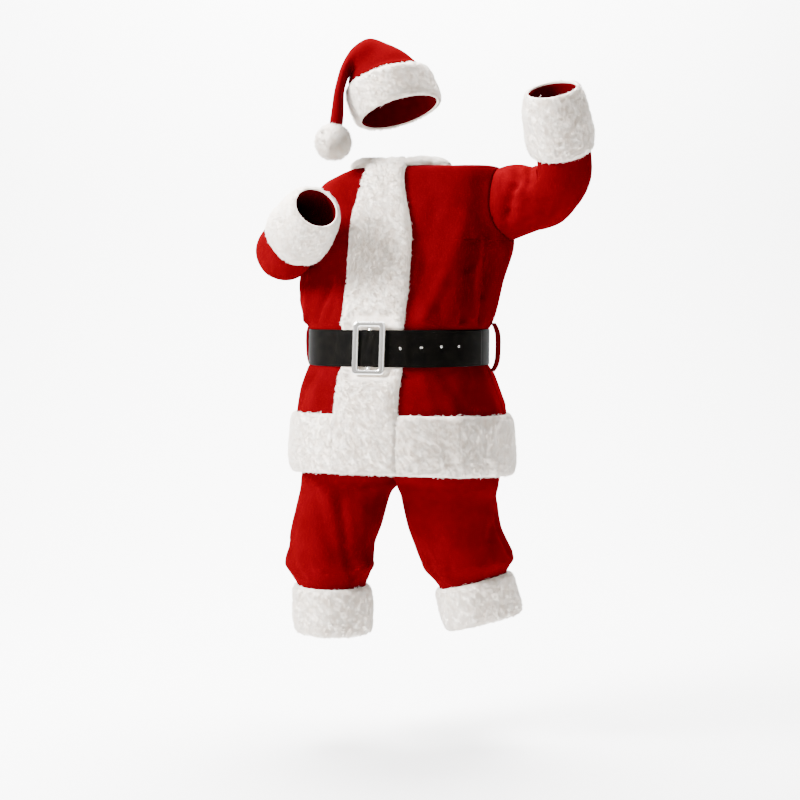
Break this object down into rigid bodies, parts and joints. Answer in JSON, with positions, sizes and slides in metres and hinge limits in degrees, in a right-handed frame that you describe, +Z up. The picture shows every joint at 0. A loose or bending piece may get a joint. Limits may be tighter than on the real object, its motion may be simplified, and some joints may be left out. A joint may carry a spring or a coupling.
{
  "type": "santa suit",
  "caption": "Worn-shape festive red plush suit, hollow: belted jacket with white fur trim, full trousers with fur cuffs, and a folded hat with a fur band and pompom.",
  "frame": {"origin": "centre of the jacket's neck opening at the wearer's neck base, 1.47 m above the wearer's soles", "axes": "+Z up along the standing wearer, +X towards the wearer's left, -Y towards the front"},
  "size_m": [0.8625, 0.5697, 1.5035],
  "materials": {
    "red_plush": "short plush pile",
    "white_fur": "long soft pile",
    "belt_vinyl": "glossy grained vinyl",
    "buckle_metal": "bright polished"
  },
  "bodies": {
    "root": {"jacket_front_left": "red_plush", "jacket_front_right": "red_plush", "jacket_back": "red_plush", "sleeve_left": "red_plush", "sleeve_right": "red_plush", "placket_fur": "white_fur", "hem_fur": "white_fur", "cuff_fur_left": "white_fur", "cuff_fur_right": "white_fur", "collar_fur": "white_fur", "belt_loop_left": "red_plush", "belt_loop_right": "red_plush", "belt_strap": "belt_vinyl", "buckle": "buckle_metal", "trouser_leg_left": "red_plush", "trouser_leg_right": "red_plush", "waistband": "red_plush", "trouser_cuff_left": "white_fur", "trouser_cuff_right": "white_fur", "hat_cone": "red_plush", "hat_band": "white_fur", "pompom": "white_fur"}
  },
  "joints": []
}
